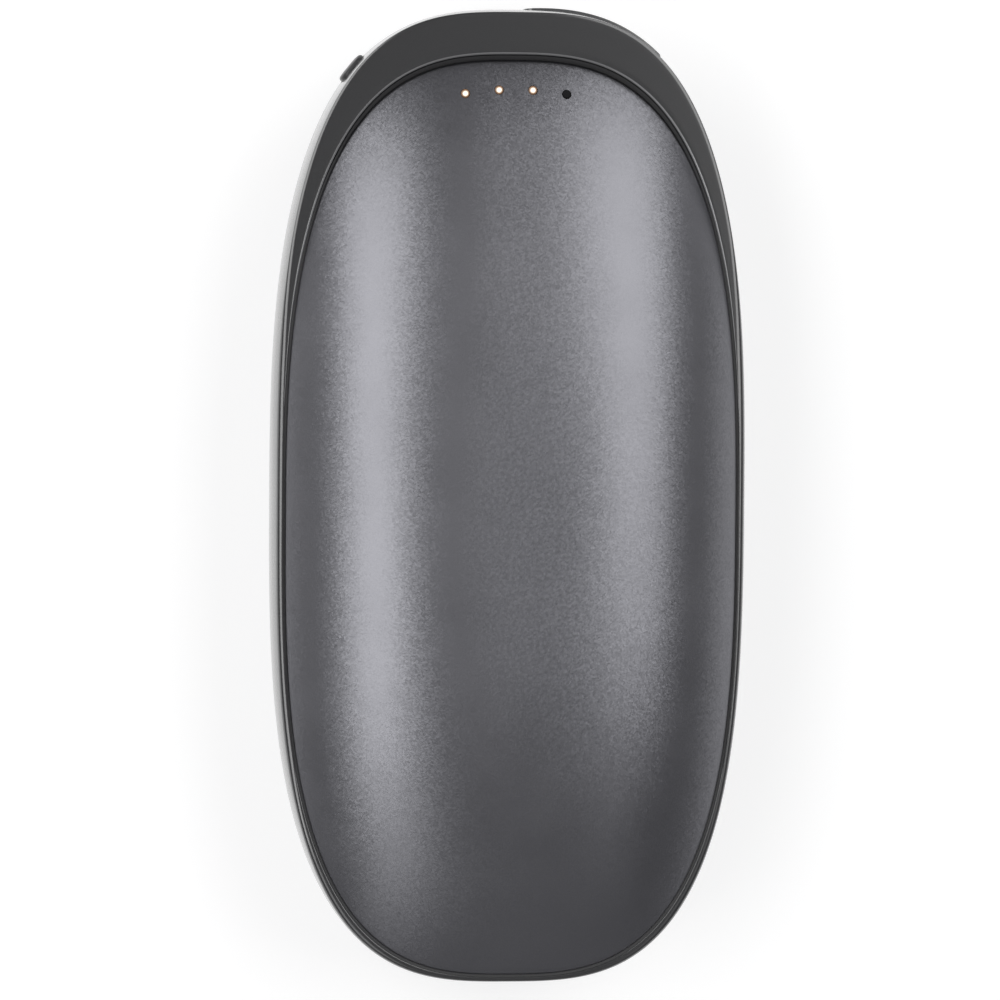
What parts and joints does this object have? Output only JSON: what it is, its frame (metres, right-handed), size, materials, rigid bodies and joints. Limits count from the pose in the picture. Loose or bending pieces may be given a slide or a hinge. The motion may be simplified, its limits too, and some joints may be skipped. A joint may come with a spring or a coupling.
{
  "type": "rechargeable hand warmer",
  "caption": "Pebble-shaped rechargeable hand warmer: domed metal shells on an oval plastic band with a power button, hinged port cover and charge lights.",
  "frame": {"origin": "centre of the flat crown of the rear shell, on which it lies", "axes": "+X across to the port side, +Y along the length to the charge lights, +Z out of the front shell"},
  "size_m": [0.0508, 0.1038, 0.0264],
  "materials": {
    "shell_metal": "satin gunmetal with a fine metallic grain",
    "band_plastic": "moulded, fine matt texture",
    "seal_rubber": "moulded ring",
    "button_plastic": "moulded, fine matt texture",
    "cover_rubber": "soft moulded silicone",
    "pin_steel": "drawn",
    "socket_steel": "stamped and plated",
    "tongue_plastic": "moulded",
    "switch_plastic": "moulded",
    "plunger_plastic": "moulded",
    "guide_clear": "clear moulded",
    "light_phosphor": "lens of a light chip",
    "board_laminate": "solder mask",
    "chip_resin": "moulded resin",
    "ferrite": "pressed",
    "capacitor_ceramic": "fired",
    "connector_plastic": "moulded",
    "cell_foil": "laminated foil",
    "tape_film": "double-sided tape",
    "nickel": "rolled strip",
    "tray_plastic": "moulded",
    "screw_steel": "plated",
    "film_polyimide": "etched heating film",
    "pad_foam": "insulating foam",
    "bead_resin": "dipped"
  },
  "bodies": {
    "case": {"front_shell": "shell_metal", "rear_shell": "shell_metal", "mid_frame": "band_plastic", "front_seal": "seal_rubber", "rear_seal": "seal_rubber", "switch_body": "switch_plastic", "cover_pin": "pin_steel", "usb_shell": "socket_steel", "usb_tongue": "tongue_plastic", "main_board": "board_laminate", "control_chip": "chip_resin", "boost_inductor": "ferrite", "capacitors": "capacitor_ceramic", "film_sockets": "connector_plastic", "charge_lights": "light_phosphor", "light_guide": "guide_clear", "front_cell": "cell_foil", "rear_cell": "cell_foil", "cell_tape": "tape_film", "cell_tabs": "nickel", "protection_board": "board_laminate", "power_strips": "nickel", "battery_tray": "tray_plastic", "case_screws": "screw_steel", "front_film": "film_polyimide", "rear_film": "film_polyimide", "front_tail": "film_polyimide", "rear_tail": "film_polyimide", "thermistors": "bead_resin", "front_pad": "pad_foam", "rear_pad": "pad_foam"},
    "button": {"power_button": "button_plastic", "switch_plunger": "plunger_plastic"},
    "cover": {"port_cover": "cover_rubber"}
  },
  "joints": [
    {"name": "power_press", "type": "slide", "parent": "case", "child": "button", "axis": [0.7738, -0.6334, 0], "range_m": [0, 0.0004], "stiffness_N_per_m": 2500},
    {"name": "cover_swing", "type": "hinge", "parent": "case", "child": "cover", "pos_m": [0.01513, 0.04895, 0.0132], "axis": [0, 0, -1], "range_deg": [0, 100]}
  ]
}
